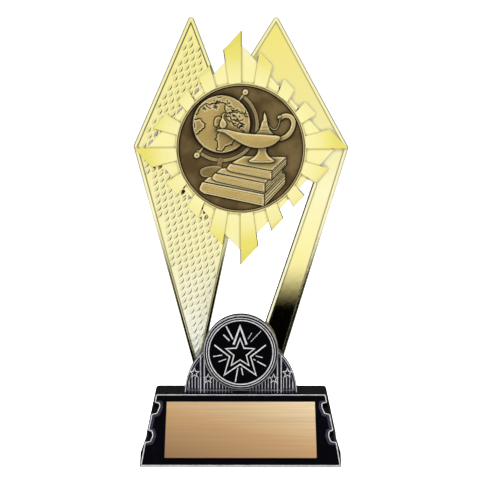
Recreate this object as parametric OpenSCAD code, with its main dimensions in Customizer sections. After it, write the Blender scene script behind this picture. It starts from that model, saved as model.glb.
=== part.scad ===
// Riser trophy: two gilt wings and a sunburst holder with a round medallion, on a
// weighted black base with a star crest and a sloping engraving plate.
// Units are millimetres. The front faces -Y, +Z is up, and the origin is the centre
// of the footprint on the surface that the trophy stands on.

/* [Overall] */
// Height of the wing tips above the table
total_h = 174.6; // [172:0.2:176]
// Distance from the middle to each side corner of the wings
half_span = 43; // [42:0.1:44]

/* [Medallion] */
// Diameter of the medallion insert
medallion_d = 50.8; // [50:0.1:51]
// Height of the medallion's centre above the table
medallion_z = 122.5; // [119:0.1:124]

/* [Sunburst] */
// Number of raised blades, with as many low blades between them
blade_count = 16; // [16:4:20]
// Reach of the raised blades above and below the centre
blade_reach = 46.4; // [44:0.2:48]
// Reach of the low blades
low_blade_reach = 41.2; // [39:0.2:43]
// Width of the sunburst divided by its height
burst_aspect = 0.913; // [0.88:0.001:0.95]

/* [Wings] */
// Thickness of each wing, front to back
wing_t = 5; // [4.5:0.1:5.4]
// Width of the raised border round each wing
wing_rim = 1.6; // [1.2:0.1:2]

/* [Base] */
// Height of the base, with its felt
base_h = 24.6; // [23:0.1:25]
// Depth of the base at the table
base_d = 51; // [50:0.5:52]
// Half of the plinth's width
base_half_w = 38.9; // [38.6:0.1:39.2]
// Half of the base's width at the top
base_top_half_w = 34; // [33.5:0.1:34.2]
// Wall of the moulded base
base_wall = 2; // [1.8:0.1:2.2]

/* [Engraving plate] */
// Width of the engraving plate
plate_w = 58.8; // [56:0.2:60]
// Height of the engraving plate, up the slope
plate_h = 25.8; // [25:0.2:26.6]

/* [Crest] */
// Radius of the half-round crest
crest_r = 22.6; // [22:0.1:23]
// Radius of the round star holder
roundel_r = 15; // [14.6:0.1:15.4]
// Height of the star's centre above the table
roundel_z = 41.2; // [40:0.1:42]

/* [Hidden] */
$fn = 96;
bite = 0.05; // how far a cutter runs past the surface that it cuts
tiny = 0.01; // radius of a corner that stays sharp
far = 100;

// Depth, front to back. The wings stand behind the crest and the sunburst
crest_front = 0.9;
crest_t = 5;
wing_front = crest_front + crest_t;
wing_field_cut = 0.6;
wing_back_cut = 1;
roundel_front = -1.1;

// Wing outlines, seen from the front. Each tip's corner stands above total_h by what
// rounding takes off it, which depends on half of the tip's angle
tip_round = 1.1;
left_tip_half = 21;
right_tip_half = 31;
left_tip = [-19.8, total_h + tip_round * (1 / sin(left_tip_half) - 1)];
left_side = [-half_span, 123.5];
left_foot = [-17.3, 27.8];
left_inner = [2, 119.1];
right_tip = [14.1, total_h + tip_round * (1 / sin(right_tip_half) - 1)];
right_side = [half_span, 122.9];
right_foot_outer = [13.1, 24.8];
right_foot_inner = [0.4, 24.8];
right_inner = [29.2, 109.1];
right_shoulder = [4.3, 159.3];
wing_gap = 0.25;
corner_round = 1.2;
foot_bottom = 14;
foot_top = 32.8;
left_foot_x = [-20.5, -14];
right_foot_x = [4, 12];

// Sunburst
low_step = 1.4;
burst_front = 1.5;
blade_pitch = 360 / blade_count;
blade_angle = 0.475 * blade_pitch;
seat_r = medallion_d / 2 + 0.2;
seat_floor = 4.7;
seat_lip = 1.4;

// Medallion and star disc
medallion_t = 2;
medallion_rim = 1.1;
medallion_pad_t = 0.5;
medallion_back = seat_floor - medallion_pad_t;
medallion_front = medallion_back - medallion_t;
star_disc_r = 12.5;
star_disc_t = 0.6;
star_pad_t = 0.2;
star_seat_floor = 0.3;

// Base. The fascia is a plate laid on the sloping front
felt_t = 0.8;
rim_clear = 0.25; // from the table up to the moulded base's rim, as the felt stands proud
plinth_h = 4.6;
lap = 0.4; // how far the body runs down into the plinth
body_edge_r = 1.4; // rounding of the body's top edges, outside
shoulder_half_w = 38.2; // half of the body's width just above the plinth
flare = 2.7; // turn of each side, which makes the base wider at the back
base_front = -base_d / 2;
base_back = base_d / 2;
base_top_front = -2.5;
base_top_back = 20.4;
back_lean = (base_back - base_top_back) / base_h;
slope = atan2(base_h, base_top_front - base_front);
slope_len = base_h / sin(slope);
fascia_t = 1.6;
bead_w = 0.9;
bead_t = 0.45;
shell_set_back = fascia_t / sin(slope);
plate_t = 0.5;
plate_pad_t = 0.15;
pad_inset = 0.8; // from the plate's edge in to its adhesive's
plate_corner_r = 0.3;
plate_v = 16.9;

// Inside the base
cover_t = 1.4;
cover_top = felt_t + cover_t;
cover_gap = 0.2;
felt_corner_r = 1;
screw_posts = [[-33, 15.5], [33, 15.5], [-33, -10], [33, -10]];
post_r = 3;
post_inset = 0.5;
cover_screw_r = 1;
cover_screw_top = 8;
bolt_x = -4.5;
bolt_y = wing_front + wing_t / 2;
bolt_r = 3;
bolt_hole_r = 3.2;
bolt_head_bottom = 3;
bolt_head_t = 4;
hex_flats = 10;
washer_t = 1.2;
washer_r = 6.4;
weight_bottom = bolt_head_bottom + bolt_head_t + washer_t;
block_bottom = 12;
nut_bottom = 16.4;
nut_t = 5;
block_x = [-23, 14.5];
block_y = [4.5, 12.4];
slot_gap = 0.1;

// Screws through the wings and into the crest. The holder's screws go into its blades,
// outside the seat, as they would reach the medallion behind it
holder_screw_at = [[-30, 120.8], [30, 120.8], [-13.2, 147.2], [16.8, 145.2]];
holder_screw_r = 1;
holder_screw_head_r = 2.2;
holder_screw_head_t = 1.3;
holder_screw_depth = 2.2;
crest_screw_x = 14;
crest_screw_y = 2.7;
crest_screw_r = 0.9;
crest_screw_head_r = 1.6;
crest_screw_head_t = 1.4;
crest_screw_top = 30.8;

// Colours
gilt = [0.93, 0.82, 0.36];
gilt_deep = [0.85, 0.72, 0.25];
gloss_black = [0.06, 0.06, 0.07];
silver = [0.78, 0.78, 0.8];
copper_gold = [0.72, 0.55, 0.36];
bronze = [0.42, 0.34, 0.22];
steel = [0.62, 0.63, 0.66];
iron = [0.3, 0.3, 0.31];
felt_grey = [0.16, 0.16, 0.18];
white_foam = [0.9, 0.9, 0.88];

// ---- Outlines ----------------------------------------------------------------

function unit(v) = v / norm(v);
function left_of(v) = [-v[1], v[0]];
function mirrored(p) = [for (i = [len(p) - 1:-1:0]) [-p[i][0], p[i][1]]];

// Where the line through p along u meets the line through q along v
function meet(p, u, q, v) = p + u * cross(q - p, v) / cross(u, v);

// Outline moved inwards by d, for points that run anticlockwise
function inset(p, d) = [
    for (i = [0:len(p) - 1])
        let (
            here = p[i],
            u = unit(here - p[(i + len(p) - 1) % len(p)]),
            v = unit(p[(i + 1) % len(p)] - here)
        )
        meet(here + d * left_of(u), u, here + d * left_of(v), v)
];

// Outline with the corners rounded to the radii in r, in steps short chords each
function rounded(p, r, steps = 5) = [
    for (i = [0:len(p) - 1])
        let (
            n = len(p),
            here = p[i],
            u = unit(p[(i + n - 1) % n] - here),
            v = unit(p[(i + 1) % n] - here),
            half = acos(u * v) / 2,
            centre = here + unit(u + v) * r[i] / sin(half),
            start = here + u * r[i] / tan(half) - centre,
            turn = 180 - 2 * half,
            way = cross(u, v) > 0 ? -1 : 1
        )
        for (s = [0:steps])
            let (a = way * turn * s / steps)
            centre + [start[0] * cos(a) - start[1] * sin(a), start[0] * sin(a) + start[1] * cos(a)]
];

// Points of a star with its first tip straight up
function star_points(outer, inner, tips = 5) = [
    for (i = [0:2 * tips - 1])
        let (r = i % 2 == 0 ? outer : inner, a = 90 + 180 * i / tips)
        [r * cos(a), r * sin(a)]
];

// A point of the sunburst's edge, at angle a clockwise from the top
function burst_point(reach, a) =
    let (r = reach / (abs(sin(a)) + abs(cos(a))))
    [burst_aspect * r * sin(a), r * cos(a)];

// ---- Placing -----------------------------------------------------------------

// Stands an outline up, with its front at y_front
module upright(y_front, depth) {
    translate([0, y_front + depth, 0])
        rotate([90, 0, 0])
            linear_extrude(depth)
                children();
}

// Runs an outline of (y, z) points from side to side
module crosswise(width) {
    rotate([90, 0, 90])
        linear_extrude(width, center = true)
            children();
}

// Lays a solid on the sloping front: x across, y up the slope, z out of the face
module on_slope() {
    translate([0, base_front, 0])
        rotate([slope, 0, 0])
            children();
}

// A round bar along Y, with its front at y_front
module bar_y(r, y_front, depth) {
    translate([0, y_front + depth, 0])
        rotate([90, 0, 0])
            cylinder(h = depth, r = r);
}

module hexagon(h, flats) {
    cylinder(h = h, r = flats / 2 / cos(30), $fn = 6);
}

// ---- Base --------------------------------------------------------------------

// Moulded body of the base, shrunk by wall on every face but the bottom
module base_body(wall) {
    shoulder = shoulder_half_w - wall;
    foot_w = shoulder + (shoulder_half_w - base_top_half_w) * plinth_h / (base_h - plinth_h);
    top_w = base_top_half_w - wall;
    top_z = base_h - wall;
    round_r = max(body_edge_r - wall, 0.3);
    front_wall = wall / sin(slope);
    intersection() {
        union() {
            intersection() {
                intersection_for (side = [-1, 1])
                    rotate([0, 0, -side * flare])
                        upright(-far / 2, far)
                            polygon(rounded(
                                [
                                    [side * foot_w, 0], [side * top_w, top_z],
                                    [-side * far, top_z], [-side * far, 0]
                                ],
                                [tiny, round_r, tiny, tiny]
                            ));
                above(plinth_h - lap - wall / 2);
            }
            translate([-base_half_w + wall, -far / 2, 0])
                cube([2 * (base_half_w - wall), far, plinth_h - wall / 4]);
        }
        crosswise(far)
            polygon([
                [base_front + shell_set_back + front_wall, 0],
                [base_back - wall, 0],
                [base_top_back - wall, base_h],
                [base_top_front + shell_set_back + front_wall, base_h]
            ]);
    }
}

module above(z) {
    translate([-far, -far, z])
        cube([2 * far, 2 * far, far]);
}

module foot_slot(x_range, z_low, z_high) {
    translate([x_range[0] - slot_gap, wing_front - slot_gap, z_low])
        cube([x_range[1] - x_range[0] + 2 * slot_gap, wing_t + 2 * slot_gap, z_high - z_low]);
}

module base_shell() {
    color(gloss_black)
        difference() {
            union() {
                difference() {
                    intersection() {
                        base_body(0);
                        above(rim_clear);
                    }
                    base_body(base_wall);
                }
                intersection() {
                    base_body(post_inset);
                    for (p = screw_posts)
                        translate([p[0], p[1], cover_top])
                            cylinder(h = base_h, r = post_r);
                }
            }
            for (p = screw_posts)
                translate([p[0], p[1], cover_top - bite])
                    cylinder(h = cover_screw_top - cover_top + bite, r = cover_screw_r);
            foot_slot(left_foot_x, base_h - base_wall - bite, base_h + bite);
            foot_slot(right_foot_x, base_h - base_wall - bite, base_h + bite);
            for (side = [-1, 1])
                translate([side * crest_screw_x, crest_screw_y, base_h - base_wall - bite])
                    cylinder(h = base_wall + 2 * bite, r = crest_screw_r);
        }
}

// Right half of the fascia's outline, from the bottom up, with its two notches
fascia_side = [
    [39.1, -3], [38.8, 0.2], [37.5, 11.4], [35.4, 11.9], [34.7, 14.3], [35, 16], [36.5, 16.5],
    [35.4, 24.3], [33.4, 24.9], [32.5, 27.6], [32.6, 29], [34.5, 29.5], [33.9, slope_len + 0.2]
];
fascia_side_r = [tiny, tiny, 0.4, 0.8, 1, 0.6, 0.3, 0.4, 0.8, 1, 0.6, 0.3, 0.4];
fascia_corners = concat(fascia_side, mirrored(fascia_side));
fascia_radii = concat(fascia_side_r, [for (i = [len(fascia_side_r) - 1:-1:0]) fascia_side_r[i]]);

module fascia_outline(in) {
    polygon(rounded(inset(fascia_corners, in), fascia_radii, 4));
}

module base_fascia() {
    color(gloss_black)
        intersection() {
            on_slope()
                union() {
                    translate([0, 0, -fascia_t])
                        linear_extrude(fascia_t)
                            fascia_outline(0);
                    linear_extrude(bead_t)
                        difference() {
                            fascia_outline(0);
                            fascia_outline(bead_w);
                        }
                }
            translate([-far, -far, rim_clear])
                cube([2 * far, 2 * far, base_h - rim_clear]);
        }
}

module plate_adhesive() {
    color(white_foam)
        on_slope()
            translate([-plate_w / 2 + pad_inset, plate_v - plate_h / 2 + pad_inset, 0])
                cube([plate_w - 2 * pad_inset, plate_h - 2 * pad_inset, plate_pad_t]);
}

module engraving_plate() {
    w = plate_w / 2;
    low = plate_v - plate_h / 2;
    high = plate_v + plate_h / 2;
    color(copper_gold)
        on_slope()
            translate([0, 0, plate_pad_t])
                linear_extrude(plate_t)
                    polygon(rounded(
                        [[-w, low], [w, low], [w, high], [-w, high]],
                        [for (i = [0:3]) plate_corner_r]
                    ));
}

// The cover and the felt under it fill the base's opening, inside its walls
cover_w = base_half_w - base_wall - cover_gap;
cover_front = base_front + shell_set_back + (base_wall + cover_top * cos(slope)) / sin(slope) + cover_gap;
cover_back = base_back - base_wall - cover_top * back_lean - cover_gap;

module felt_pad() {
    color(felt_grey)
        linear_extrude(felt_t)
            polygon(rounded(
                [
                    [-cover_w, cover_front], [cover_w, cover_front],
                    [cover_w, cover_back], [-cover_w, cover_back]
                ],
                [for (i = [0:3]) felt_corner_r]
            ));
}

module bottom_cover() {
    color(gloss_black)
        difference() {
            translate([-cover_w, cover_front, felt_t])
                cube([2 * cover_w, cover_back - cover_front, cover_t]);
            for (p = screw_posts)
                translate([p[0], p[1], felt_t])
                    cylinder(h = cover_t, r1 = cover_screw_r + cover_t, r2 = cover_screw_r);
        }
}

module cover_screws() {
    color(steel)
        for (p = screw_posts)
            translate([p[0], p[1], felt_t]) {
                cylinder(h = cover_t, r1 = cover_screw_r + cover_t, r2 = cover_screw_r);
                cylinder(h = cover_screw_top - felt_t, r = cover_screw_r);
            }
}

// ---- Fixings inside the base ---------------------------------------------------

module ballast_weight() {
    color(iron)
        difference() {
            translate([0, 0, weight_bottom])
                linear_extrude(block_bottom - weight_bottom)
                    polygon(rounded([[-30, -6.4], [30, -6.4], [30, 16.8], [-30, 16.8]], [3, 3, 3, 3]));
            translate([bolt_x, bolt_y, weight_bottom - bite])
                cylinder(h = block_bottom - weight_bottom + 2 * bite, r = bolt_hole_r);
        }
}

module riser_bolt() {
    color(steel)
        translate([bolt_x, bolt_y, bolt_head_bottom]) {
            hexagon(bolt_head_t, hex_flats);
            cylinder(h = nut_bottom + nut_t - bolt_head_bottom, r = bolt_r);
        }
}

module riser_washer() {
    color(steel)
        translate([bolt_x, bolt_y, bolt_head_bottom + bolt_head_t])
            difference() {
                cylinder(h = washer_t, r = washer_r);
                translate([0, 0, -bite])
                    cylinder(h = washer_t + 2 * bite, r = bolt_hole_r);
            }
}

module riser_nut() {
    color(steel)
        translate([bolt_x, bolt_y, nut_bottom])
            difference() {
                hexagon(nut_t, hex_flats);
                translate([0, 0, -bite])
                    cylinder(h = nut_t + 2 * bite, r = bolt_r);
            }
}

module riser_foot_block() {
    top = base_h - base_wall;
    color(gloss_black)
        difference() {
            translate([block_x[0], block_y[0], block_bottom])
                cube([block_x[1] - block_x[0], block_y[1] - block_y[0], top - block_bottom]);
            foot_slot(left_foot_x, foot_bottom - slot_gap, top + bite);
            foot_slot(right_foot_x, foot_bottom - slot_gap, top + bite);
            translate([bolt_x, bolt_y, block_bottom - bite])
                cylinder(h = top - block_bottom, r = bolt_hole_r);
            translate([bolt_x, bolt_y, nut_bottom])
                hexagon(top - nut_bottom + bite, hex_flats + 0.02);
        }
}

// ---- Crest ---------------------------------------------------------------------

crest_line_t = 0.4;
arch_w = 0.8;
bar_pitch = 1.22;
bar_w = 0.45;
bar_top = 14; // above the base's top, before the arch and the stars cut the bars short
post_x = 15.4;
post_w = 0.7;
post_top = 42.8;
small_star_r = 1.9;
small_stars = [[-18.6, 32.7], [-13.1, 30.4], [13.1, 30.4], [18.6, 32.7]];

// Half disc standing on the base's top, of radius r
module half_disc(r) {
    intersection() {
        translate([0, base_h])
            circle(r);
        translate([-far, base_h])
            square([2 * far, far]);
    }
}

// Upright bars of the colonnade, clear of the roundel and the small stars
module colonnade() {
    difference() {
        intersection() {
            half_disc(crest_r - arch_w);
            for (side = [-1, 1], i = [3:17])
                translate([side * i * bar_pitch - bar_w / 2, base_h])
                    square([bar_w, abs(i * bar_pitch - post_x) < 1 ? tiny : bar_top]);
        }
        translate([0, roundel_z])
            circle(roundel_r - 0.2);
        for (p = small_stars)
            translate([p[0], p[1] - 1])
                square([5.2, 5.2], center = true);
    }
    for (side = [-1, 1], step = [-0.7, 0.7])
        translate([side * post_x + step - post_w / 2, base_h])
            square([post_w, crest_post_h(side * post_x + step)]);
    translate([-crest_r + 1.6, base_h + 1])
        square([2 * crest_r - 3.2, 0.3]);
}

// Height of the crest above the base's top at x, as far as the posts go
function crest_post_h(x) = min(sqrt(pow(crest_r - 0.2, 2) - x * x), post_top - base_h);

module star_ring(outer, inner, line) {
    difference() {
        polygon(star_points(outer, inner));
        polygon(inset(star_points(outer, inner), line));
    }
}

module crest() {
    color(gloss_black)
        difference() {
            union() {
                upright(crest_front, crest_t)
                    half_disc(crest_r);
                upright(crest_front - crest_line_t, crest_line_t)
                    difference() {
                        half_disc(crest_r);
                        half_disc(crest_r - arch_w);
                    }
                upright(crest_front - crest_line_t, crest_line_t)
                    colonnade();
                upright(crest_front - crest_line_t, crest_line_t)
                    for (p = small_stars)
                        translate(p)
                            star_ring(small_star_r, 0.42 * small_star_r, 0.3);
                translate([0, 0, roundel_z])
                    bar_y(roundel_r, roundel_front, wing_front - roundel_front);
            }
            translate([0, 0, roundel_z]) {
                bar_y(star_disc_r, roundel_front - bite, star_seat_floor - roundel_front + bite);
                difference() {
                    bar_y(roundel_r - 1, roundel_front - bite, 0.5 + bite);
                    bar_y(roundel_r - 1.5, roundel_front - 2 * bite, 0.5 + 4 * bite);
                }
            }
            for (side = [-1, 1])
                translate([side * crest_screw_x, crest_screw_y, base_h - bite])
                    cylinder(h = crest_screw_top - base_h + bite, r = crest_screw_r);
        }
}

module crest_screws() {
    head_z = base_h - base_wall - crest_screw_head_t;
    color(steel)
        for (side = [-1, 1])
            translate([side * crest_screw_x, crest_screw_y, head_z]) {
                cylinder(h = crest_screw_head_t, r = crest_screw_head_r);
                cylinder(h = crest_screw_top - head_z, r = crest_screw_r);
            }
}

module star_disc_adhesive() {
    color(white_foam)
        translate([0, 0, roundel_z])
            bar_y(star_disc_r - 1.5, star_seat_floor - star_pad_t, star_pad_t);
}

module star_disc() {
    front = star_seat_floor - star_pad_t - star_disc_t;
    color(silver)
        translate([0, 0, roundel_z]) {
            bar_y(star_disc_r, front, star_disc_t);
            upright(front - 0.2, 0.2) {
                star_ring(10.8, 4.4, 0.6);
                star_ring(5.9, 2.5, 0.45);
            }
        }
}

// ---- Wings ---------------------------------------------------------------------

left_corners = [left_tip, left_side, left_foot, left_inner];
left_radii = [tip_round, corner_round, 0.6, corner_round];

// The right wing's hidden edge keeps clear of the left wing's
left_edge = unit(left_inner - left_tip);
gap_point = left_inner + wing_gap * left_of(left_edge);
right_crossing = meet(right_tip, right_shoulder - right_tip, gap_point, left_edge);
right_notch = gap_point + 0.5 * left_edge;
right_corners = [
    right_tip, right_crossing, right_notch, right_inner, right_foot_inner, right_foot_outer, right_side
];
right_radii = [tip_round, 0.3, 0.6, 0.8, 0.2, 0.2, corner_round];

// A wing is a flat plate with a raised border on both faces, and a tab for its foot
module wing(corners, radii, foot_x) {
    field = rounded(inset(corners, wing_rim), [for (r = radii) max(r - 0.7, 0.2)]);
    foot = [
        [foot_x[0], foot_bottom], [foot_x[1], foot_bottom], [foot_x[1], foot_top], [foot_x[0], foot_top]
    ];
    difference() {
        union() {
            upright(wing_front, wing_t)
                polygon(rounded(corners, radii));
            upright(wing_front, wing_t)
                polygon(foot);
        }
        difference() {
            union() {
                upright(wing_front - bite, wing_field_cut + bite)
                    polygon(field);
                upright(wing_front + wing_t - wing_back_cut, wing_back_cut + bite)
                    polygon(field);
            }
            upright(wing_front - 2 * bite, wing_t + 4 * bite)
                polygon(foot);
        }
        for (p = holder_screw_at)
            translate([p[0], 0, p[1]])
                bar_y(holder_screw_r + 0.1, wing_front - bite, wing_t + 2 * bite);
    }
}

module left_wing() {
    color(gilt)
        wing(left_corners, left_radii, left_foot_x);
}

module right_wing() {
    color(gilt)
        wing(right_corners, right_radii, right_foot_x);
}

// ---- Sunburst and medallion ------------------------------------------------------

// Edge of the whole sunburst: a raised blade and then a low one, all the way round
burst_edge = [
    for (i = [0:blade_count - 1])
        let (a = -i * blade_pitch)
        each [
            burst_point(low_blade_reach, a + blade_pitch - blade_angle),
            burst_point(low_blade_reach, a),
            burst_point(blade_reach, a),
            burst_point(blade_reach, a - blade_angle)
        ]
];

module sunburst_holder() {
    color(gilt_deep)
        difference() {
            translate([0, 0, medallion_z]) {
                upright(burst_front + low_step, wing_front - burst_front - low_step)
                    polygon(burst_edge);
                upright(burst_front, low_step)
                    for (i = [0:blade_count - 1])
                        let (a = i * blade_pitch)
                        polygon([
                            [0, 0], burst_point(blade_reach, a - blade_angle), burst_point(blade_reach, a)
                        ]);
                bar_y(seat_r + seat_lip, burst_front, low_step);
            }
            translate([0, 0, medallion_z])
                bar_y(seat_r, burst_front - bite, seat_floor - burst_front + bite);
            for (p = holder_screw_at)
                translate([p[0], 0, p[1]])
                    bar_y(holder_screw_r, wing_front - holder_screw_depth, holder_screw_depth + bite);
        }
}

module holder_screws() {
    floor_y = wing_front + wing_t - wing_back_cut;
    tip_y = wing_front - holder_screw_depth;
    color(steel)
        for (p = holder_screw_at)
            translate([p[0], 0, p[1]]) {
                bar_y(holder_screw_r, tip_y, floor_y - tip_y);
                bar_y(holder_screw_head_r, floor_y, holder_screw_head_t);
            }
}

module medallion_adhesive() {
    color(white_foam)
        translate([0, 0, medallion_z])
            bar_y(medallion_d / 2 - 3, medallion_back, medallion_pad_t);
}

// Scene on the medallion, about its centre: a globe on a stand, a lamp and three books
globe_at = [-7.5, 9.5];
globe_r = 11.4;
globe_rise = 1.2;
stand_r = 13.8;
stand_w = 1.4;
lamp_body = [
    [-9.4, 7], [-7, 3.8], [-3, 1.2], [3, 0.2], [9, 0.8], [14, 3.4], [17, 7.4], [12.4, 9.4], [9.6, 13.4],
    [7.6, 9.6], [2, 8.2], [-5, 7.6]
];
book_tops = [-3.6, -8.6, -13.4];
book_lefts = [-9, -12.4, -15.4];
book_rights = [14.6, 16, 15.4];
book_h = 4.4;

module medallion() {
    color(bronze)
        translate([0, 0, medallion_z]) {
            bar_y(medallion_d / 2, medallion_front + 0.5, medallion_t - 0.5);
            difference() {
                bar_y(medallion_d / 2, medallion_front, 1);
                bar_y(medallion_d / 2 - medallion_rim, medallion_front - bite, 1 + 2 * bite);
            }
            translate([globe_at[0], 0, globe_at[1]])
                bar_y(globe_r, medallion_front + 0.5 - globe_rise, globe_rise);
            upright(medallion_front - 0.2, 0.7)
                difference() {
                    translate(globe_at)
                        circle(stand_r);
                    translate(globe_at)
                        circle(stand_r - stand_w);
                    translate([-far + globe_at[0], globe_at[1] - 2])
                        square(far);
                }
            upright(medallion_front - 1.1, 1.6)
                polygon(lamp_body);
            for (i = [0:2])
                upright(medallion_front - 0.6 - 0.2 * i, 1.1 + 0.2 * i)
                    translate([book_lefts[i], book_tops[i] - book_h])
                        square([book_rights[i] - book_lefts[i], book_h]);
        }
}

felt_pad();
bottom_cover();
cover_screws();
base_shell();
base_fascia();
plate_adhesive();
engraving_plate();
ballast_weight();
riser_bolt();
riser_washer();
riser_foot_block();
riser_nut();
crest();
crest_screws();
star_disc_adhesive();
star_disc();
left_wing();
right_wing();
sunburst_holder();
holder_screws();
medallion_adhesive();
medallion();
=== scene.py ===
import random
from math import acos, atan2, cos, pi, radians, sin, sqrt, tan

import bmesh
import bpy
import numpy as np
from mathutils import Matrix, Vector

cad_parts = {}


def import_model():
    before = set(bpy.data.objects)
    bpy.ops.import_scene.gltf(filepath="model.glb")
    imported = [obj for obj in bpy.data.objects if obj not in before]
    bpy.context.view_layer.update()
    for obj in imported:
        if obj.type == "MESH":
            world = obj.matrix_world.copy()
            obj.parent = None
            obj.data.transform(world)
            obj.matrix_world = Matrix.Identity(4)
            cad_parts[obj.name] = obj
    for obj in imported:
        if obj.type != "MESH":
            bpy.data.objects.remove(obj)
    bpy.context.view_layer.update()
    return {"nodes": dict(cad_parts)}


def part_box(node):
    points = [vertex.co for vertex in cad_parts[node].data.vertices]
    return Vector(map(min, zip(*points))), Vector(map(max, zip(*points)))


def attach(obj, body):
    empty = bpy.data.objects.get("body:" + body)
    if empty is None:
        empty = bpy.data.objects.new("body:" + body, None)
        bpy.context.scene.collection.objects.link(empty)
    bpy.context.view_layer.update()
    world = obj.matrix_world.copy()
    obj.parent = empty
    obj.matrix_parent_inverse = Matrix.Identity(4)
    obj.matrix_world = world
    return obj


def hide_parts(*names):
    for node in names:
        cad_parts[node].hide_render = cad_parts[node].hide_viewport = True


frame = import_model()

# Riser trophy. Its shapes are in millimetres, and become metres in new_mesh().
MM = 0.001


# ---- Where the CAD pieces are ----


def box_mm(node):
    """A node's lowest and highest corner, in millimetres."""
    low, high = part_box(node)
    return [c / MM for c in low], [c / MM for c in high]


def middle_mm(node):
    low, high = box_mm(node)
    return [(a + b) / 2 for a, b in zip(low, high)]


MEDAL_LOW, MEDAL_HIGH = box_mm("medallion")
MEDAL_X, _, MEDAL_Z = middle_mm("medallion")
MEDAL_R = (MEDAL_HIGH[0] - MEDAL_LOW[0]) / 2
MEDAL_BACK = MEDAL_HIGH[1]
_, WING_FRONT, _ = box_mm("left_wing")[0]
_, WING_BACK, TOTAL_H = box_mm("left_wing")[1]
BURST_FRONT = box_mm("sunburst_holder")[0][1]
BASE_TOP = box_mm("base_shell")[1][2]
BASE_FRONT = -box_mm("base_shell")[1][1]
BASE_TOP_FRONT = -2.5  # depth of the sloping face's top edge
SLOPE = atan2(BASE_TOP, BASE_TOP_FRONT - BASE_FRONT)
RIM_CLEAR = box_mm("base_shell")[0][2]
CREST_BACK = box_mm("crest")[1][1]
CREST_THICK = 5
CREST_FRONT = CREST_BACK - CREST_THICK
STAR_X, _, STAR_Z = middle_mm("star_disc")
STAR_R = (box_mm("star_disc")[1][0] - box_mm("star_disc")[0][0]) / 2


# ---- Outlines ----


def xz(*values):
    return np.array(values, float)


def arrays(points):
    return [xz(*p) for p in points]


def unit(v):
    return v / np.linalg.norm(v)


def cross(a, b):
    return a[0] * b[1] - a[1] * b[0]


def neighbours(corners):
    """Each corner of a closed outline between the one before and the one after."""
    p = arrays(corners)
    return zip(p[-1:] + p[:-1], p, p[1:] + p[:1])


def inset(corners, d):
    """The outline moved inwards by d, for corners that run anticlockwise."""
    out = []
    for before, here, after in neighbours(corners):
        u, v = unit(here - before), unit(after - here)
        p = here + d * xz(-u[1], u[0])
        q = here + d * xz(-v[1], v[0])
        turn = cross(u, v)
        out.append(p if abs(turn) < 1e-6 else p + u * cross(q - p, v) / turn)
    return out


def rounded(corners, radii, steps=6):
    """The outline with each corner turned into an arc of steps chords."""
    out = []
    for (before, here, after), radius in zip(neighbours(corners), radii):
        u, v = unit(before - here), unit(after - here)
        half = acos(max(-1, min(1, float(u @ v)))) / 2
        centre = here + unit(u + v) * radius / sin(half)
        arm = here + u * radius / tan(half) - centre
        turn = (pi - 2 * half) * (-1 if cross(u, v) > 0 else 1)
        for s in range(steps + 1):
            a = turn * s / steps
            c, k = cos(a), sin(a)
            out.append(centre + xz(arm[0] * c - arm[1] * k, arm[0] * k + arm[1] * c))
    return out


def arc(centre, r, start, end, steps=28):
    """Points about centre, from the start angle to the end angle in degrees."""
    return [
        centre + r * xz(cos(a), sin(a))
        for a in (radians(start + (end - start) * i / steps) for i in range(steps + 1))
    ]


def star_points(outer, inner, tips=5):
    """Corners of a star, from its top tip round anticlockwise."""
    return [
        xz(r * cos(a), r * sin(a))
        for i in range(2 * tips)
        for r, a in [(outer if i % 2 == 0 else inner, pi / 2 + pi * i / tips)]
    ]


def spline(points, steps=6, closed=False):
    """A smooth line through the points (Catmull-Rom)."""
    p = arrays(points)
    n = len(p)
    out = []
    for i in range(n if closed else n - 1):
        a = p[i - 1] if closed or i > 0 else 2 * p[0] - p[1]
        b, c = p[i], p[(i + 1) % n]
        d = p[(i + 2) % n] if closed or i < n - 2 else 2 * p[-1] - p[-2]
        for s in range(steps):
            t = s / steps
            out.append(
                0.5 * (2 * b + (c - a) * t + (2 * a - 5 * b + 4 * c - d) * t * t
                       + (3 * b - 3 * c + d - a) * t ** 3)
            )
    if not closed:
        out.append(p[-1])
    return out


# ---- Meshes ----

LEAST_MITRE = 0.45  # keeps a line's sharpest corners from growing long spikes


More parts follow.
